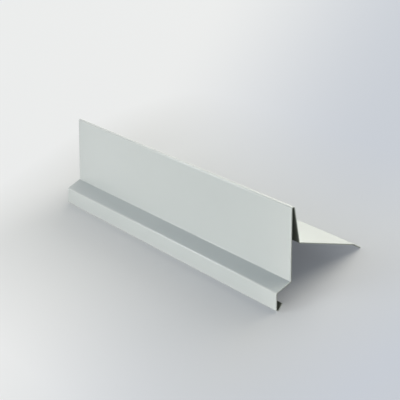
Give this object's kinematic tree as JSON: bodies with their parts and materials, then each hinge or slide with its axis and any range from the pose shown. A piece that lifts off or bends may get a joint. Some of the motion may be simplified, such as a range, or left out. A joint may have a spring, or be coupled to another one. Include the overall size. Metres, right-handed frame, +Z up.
{
  "type": "verge flashing",
  "caption": "Verge flashing folded from coated sheet metal, with a roof flange, a raised narrow fold, a tall face, a sloped shoulder and an open drip hem.",
  "frame": {"origin": "on the floor, under the middle of the bounding box", "axes": "+X along the length, +Y from the outer face towards the roof flange, +Z up, with the piece lying as it comes to rest"},
  "size_m": [0.5, 0.118, 0.0904],
  "materials": {
    "coated_sheet": "pale grey stoved coating with a satin gloss on the face side, a thin, darker and duller grey backing coat on the reverse, and bare sheared edges"
  },
  "bodies": {
    "root": {"verge_flashing": "coated_sheet"}
  },
  "joints": []
}
